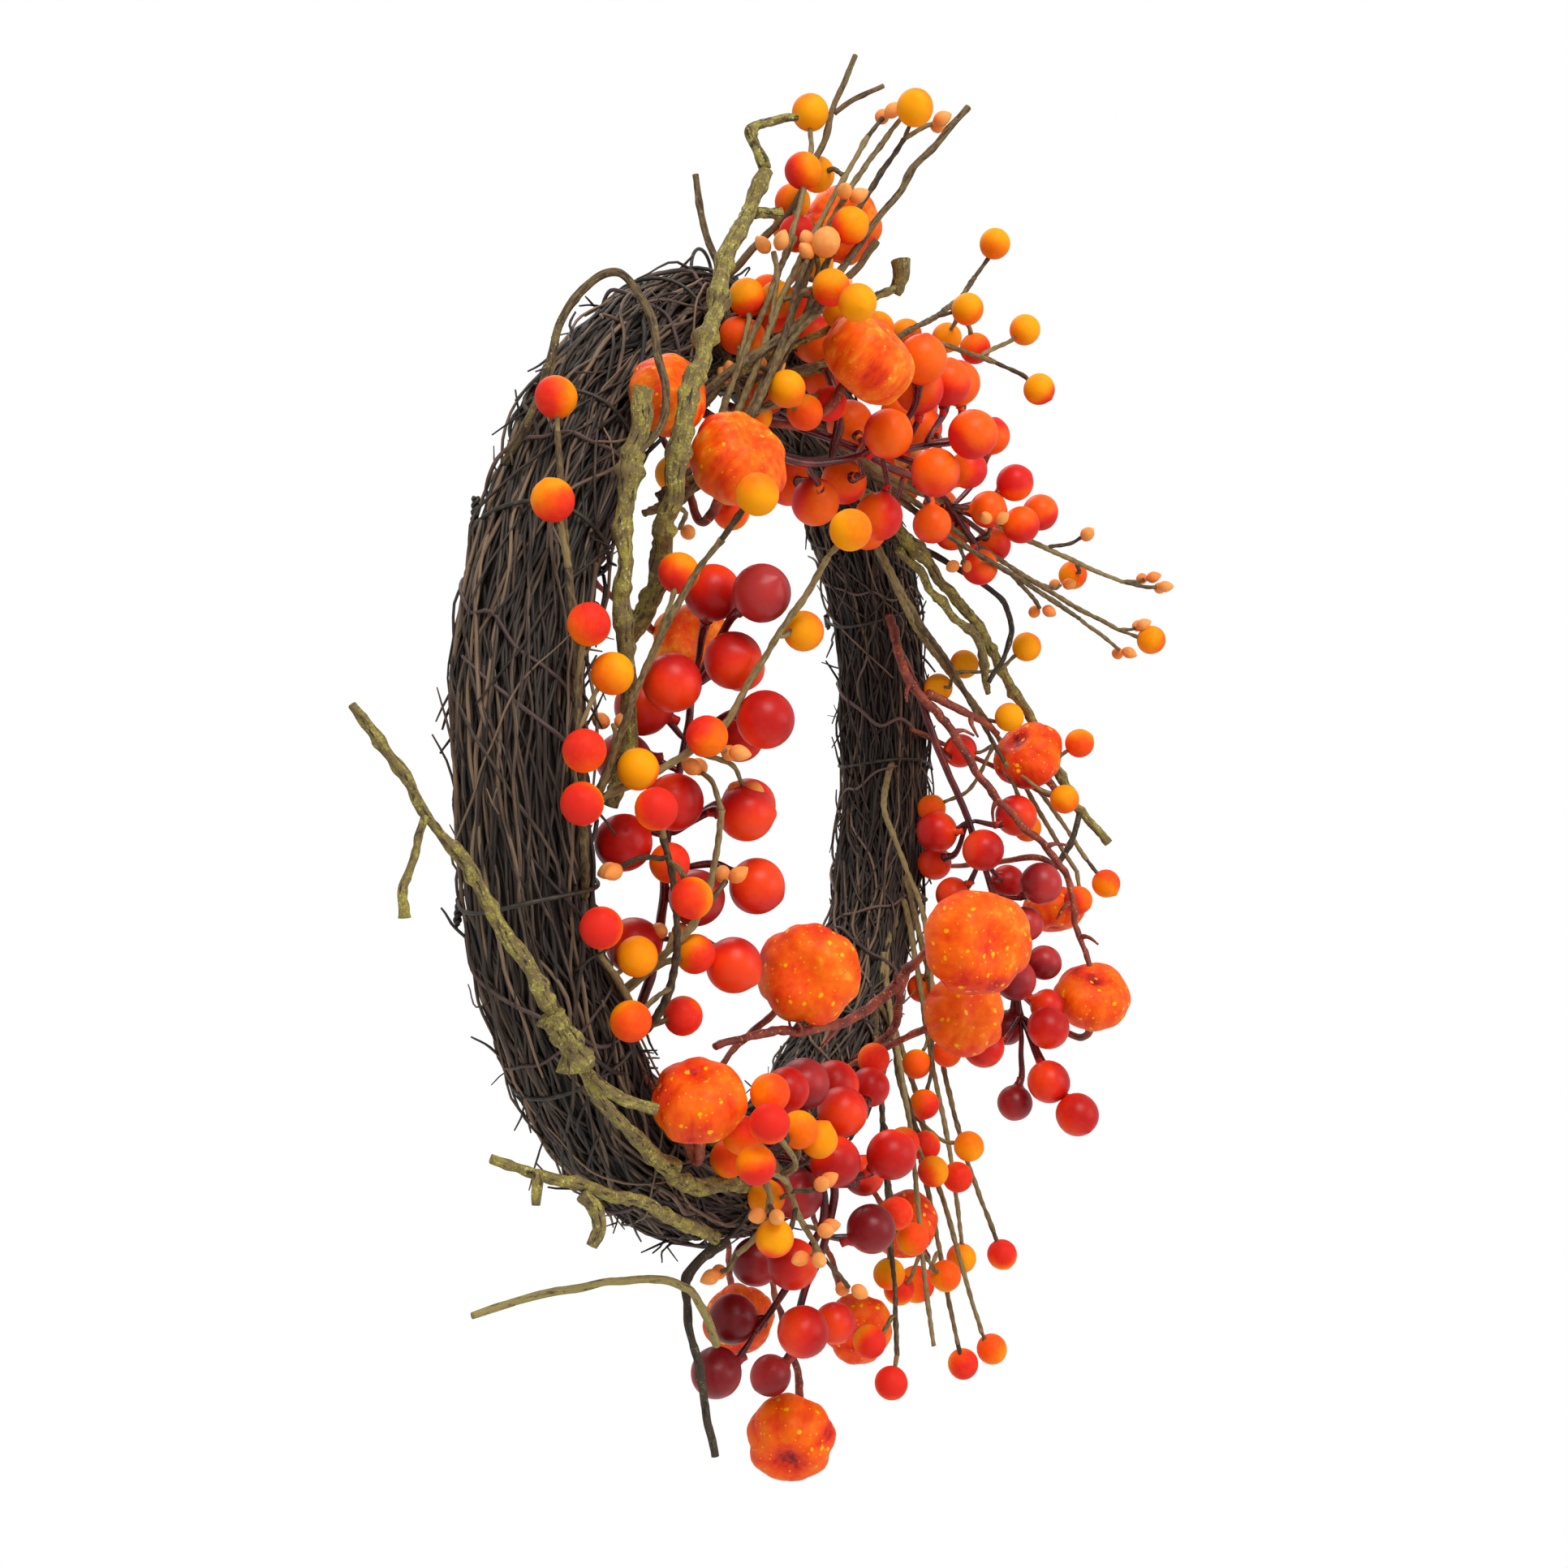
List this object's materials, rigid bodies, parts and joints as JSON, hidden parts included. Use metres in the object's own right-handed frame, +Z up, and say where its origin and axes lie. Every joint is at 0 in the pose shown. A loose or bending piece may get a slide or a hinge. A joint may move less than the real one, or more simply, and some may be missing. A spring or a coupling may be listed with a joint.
{
  "type": "harvest door wreath",
  "caption": "Round twig door wreath dressed with berry picks, mini pumpkins and mossy twigs, hung by a wire loop at the top of its back.",
  "frame": {"origin": "inside top of the wire hanging loop, where a hook or nail bears, a few millimetres in front of the door", "axes": "+Z up, +X to the right of someone who faces the front of the wreath, +Y into the door"},
  "size_m": [0.3598, 0.1274, 0.4384],
  "materials": {
    "ring_twigs": "rough, dark thin twigs",
    "dry_vine": "rough dry vine",
    "florist_wire": "satin green coated wire",
    "mossy_bark": "rough bark with lichen and moss",
    "bare_wood": "dry bare wood with a little moss",
    "dark_bark": "rough dark bark",
    "paper_stem": "twisted paper tape over wire",
    "berry_red": "matte orange red with blush",
    "berry_amber": "matte amber with red blush",
    "bud": "satin peach",
    "moulded_stem": "semi-gloss maroon moulded stem",
    "berry_gloss_red": "semi-gloss red",
    "berry_dark": "semi-gloss maroon",
    "thorny_stem": "rust red with orange flecks",
    "pumpkin": "satin orange with yellow speckles"
  },
  "bodies": {
    "root": {"twig_ring": "ring_twigs", "binding_vine": "dry_vine", "tie_wires": "florist_wire", "hanger_wrap": "florist_wire", "hanger_loop": "florist_wire", "hooked_twig": "mossy_bark", "upright_twig": "mossy_bark", "arched_vine": "dry_vine", "straight_twig": "mossy_bark", "long_top_twigs": "mossy_bark", "crossing_twig": "mossy_bark", "forked_twig": "mossy_bark", "drooping_branch": "mossy_bark", "lower_left_twig": "mossy_bark", "bare_twig": "bare_wood", "bottom_dark_twig": "dark_bark", "right_mossy_twig": "mossy_bark", "right_dark_twig": "dark_bark", "left_paper_stems": "paper_stem", "left_red_berries": "berry_red", "left_amber_berries": "berry_amber", "left_buds": "bud", "left_moulded_stem": "moulded_stem", "left_large_red_berries": "berry_gloss_red", "left_large_dark_berries": "berry_dark", "top_paper_stems": "paper_stem", "top_red_berries": "berry_red", "top_amber_berries": "berry_amber", "top_buds": "bud", "upper_right_paper_stems": "paper_stem", "upper_right_berries": "berry_red", "top_moulded_stem": "moulded_stem", "top_large_berries": "berry_gloss_red", "right_bud_stems": "paper_stem", "right_bud_stem_berries": "berry_red", "right_buds": "bud", "right_paper_stems": "paper_stem", "right_red_berries": "berry_red", "right_amber_berries": "berry_amber", "right_moulded_stem": "moulded_stem", "right_large_red_berries": "berry_gloss_red", "right_large_dark_berries": "berry_dark", "right_thorny_stem": "thorny_stem", "centre_thorny_stem": "thorny_stem", "bottom_paper_stems": "paper_stem", "bottom_berries": "berry_red", "bottom_buds": "bud", "hanging_paper_stems": "paper_stem", "hanging_red_berries": "berry_red", "hanging_amber_berries": "berry_amber", "bottom_moulded_stem": "moulded_stem", "bottom_large_red_berries": "berry_gloss_red", "bottom_large_dark_berries": "berry_dark", "top_pumpkins": "pumpkin", "centre_pumpkins": "pumpkin", "right_pumpkins": "pumpkin", "bottom_pumpkins": "pumpkin", "pumpkin_stems": "thorny_stem"}
  },
  "joints": []
}
